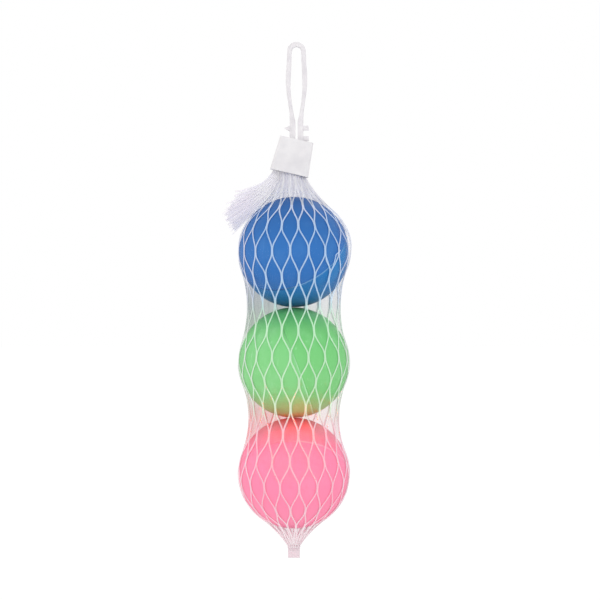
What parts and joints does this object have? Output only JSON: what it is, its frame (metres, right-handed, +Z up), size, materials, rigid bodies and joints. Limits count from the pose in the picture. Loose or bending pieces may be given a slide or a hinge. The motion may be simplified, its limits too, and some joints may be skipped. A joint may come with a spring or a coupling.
{
  "type": "netted play ball set",
  "caption": "Coloured hollow rubber play balls stacked in a sleeve of diamond netting, gathered into a plastic clip with a strap loop for hanging and heat-sealed to a tab at the bottom.",
  "frame": {"origin": "inside top of the strap loop's eye, where a hook or peg bears", "axes": "+Z up along the hanging object, +X to the right and +Y away from a person who faces the clip's broad side, with the netting's cut end to the left"},
  "size_m": [0.074, 0.0656, 0.2953],
  "materials": {
    "strap_plastic": "satin moulded polypropylene",
    "collar_plastic": "fine matt moulded polypropylene",
    "net_plastic": "translucent extruded polyethylene",
    "seal_plastic": "melted and pressed polyethylene",
    "blue_rubber": "satin moulded rubber",
    "green_rubber": "satin moulded rubber",
    "pink_rubber": "satin moulded rubber"
  },
  "bodies": {
    "hanger": {"hang_loop": "strap_plastic", "clip_collar": "collar_plastic", "net_gather": "net_plastic"},
    "upper_net": {"net_upper_band": "net_plastic", "net_cut_end": "net_plastic"},
    "middle_net": {"net_middle_band": "net_plastic"},
    "lower_net": {"net_lower_band": "net_plastic", "net_tail_seal": "seal_plastic"},
    "blue_ball": {"blue_ball_top_half": "blue_rubber", "blue_ball_bottom_half": "blue_rubber"},
    "green_ball": {"green_ball_right_half": "green_rubber", "green_ball_left_half": "green_rubber"},
    "pink_ball": {"pink_ball_top_half": "pink_rubber", "pink_ball_bottom_half": "pink_rubber"}
  },
  "joints": [
    {"name": "neck_swing", "type": "hinge", "parent": "hanger", "child": "upper_net", "pos_m": [-0.0015, 0, -0.0735], "axis": [0, 1, 0], "range_deg": [-35, 35], "deforming": ["net_upper_band", "net_cut_end"]},
    {"name": "blue_ball_spin", "type": "hinge", "parent": "upper_net", "child": "blue_ball", "pos_m": [-0.0015, 0, -0.1175], "axis": [0, 0, 1], "continuous": true},
    {"name": "upper_waist_bend", "type": "hinge", "parent": "upper_net", "child": "middle_net", "pos_m": [-0.0015, 0, -0.1175], "axis": [1, 0, 0], "range_deg": [-20, 20], "deforming": ["net_upper_band", "net_middle_band"]},
    {"name": "green_ball_spin", "type": "hinge", "parent": "middle_net", "child": "green_ball", "pos_m": [-0.0015, 0, -0.1808], "axis": [0, 0, 1], "continuous": true},
    {"name": "lower_waist_bend", "type": "hinge", "parent": "middle_net", "child": "lower_net", "pos_m": [-0.0015, 0, -0.1808], "axis": [0, 1, 0], "range_deg": [-20, 20], "deforming": ["net_middle_band", "net_lower_band"]},
    {"name": "pink_ball_spin", "type": "hinge", "parent": "lower_net", "child": "pink_ball", "pos_m": [-0.0015, 0, -0.2441], "axis": [0, 0, 1], "continuous": true}
  ]
}
